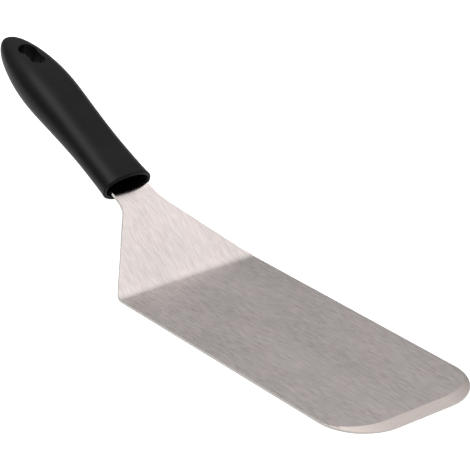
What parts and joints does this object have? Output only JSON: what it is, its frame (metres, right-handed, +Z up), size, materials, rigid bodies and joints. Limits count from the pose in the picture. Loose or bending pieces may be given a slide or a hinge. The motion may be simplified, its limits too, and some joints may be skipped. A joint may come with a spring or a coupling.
{
  "type": "offset spatula",
  "caption": "Cranked stainless spatula with a wide round-cornered blade and a black moulded handle with a hang hole.",
  "frame": {"origin": "middle of the blade's flat underside, half way from the first bend to the tip", "axes": "+X to the blade's tip, +Y across the blade, +Z up, away from the bench the blade lies on"},
  "size_m": [0.3469, 0.085, 0.0858],
  "materials": {
    "steel": "fine lengthways brushed grain, satin",
    "core_plastic": "plain moulded",
    "grip_plastic": "fine moulded texture, satin black"
  },
  "bodies": {
    "root": {"blade_sheet": "steel", "handle_core": "core_plastic", "handle_grip": "grip_plastic"}
  },
  "joints": []
}
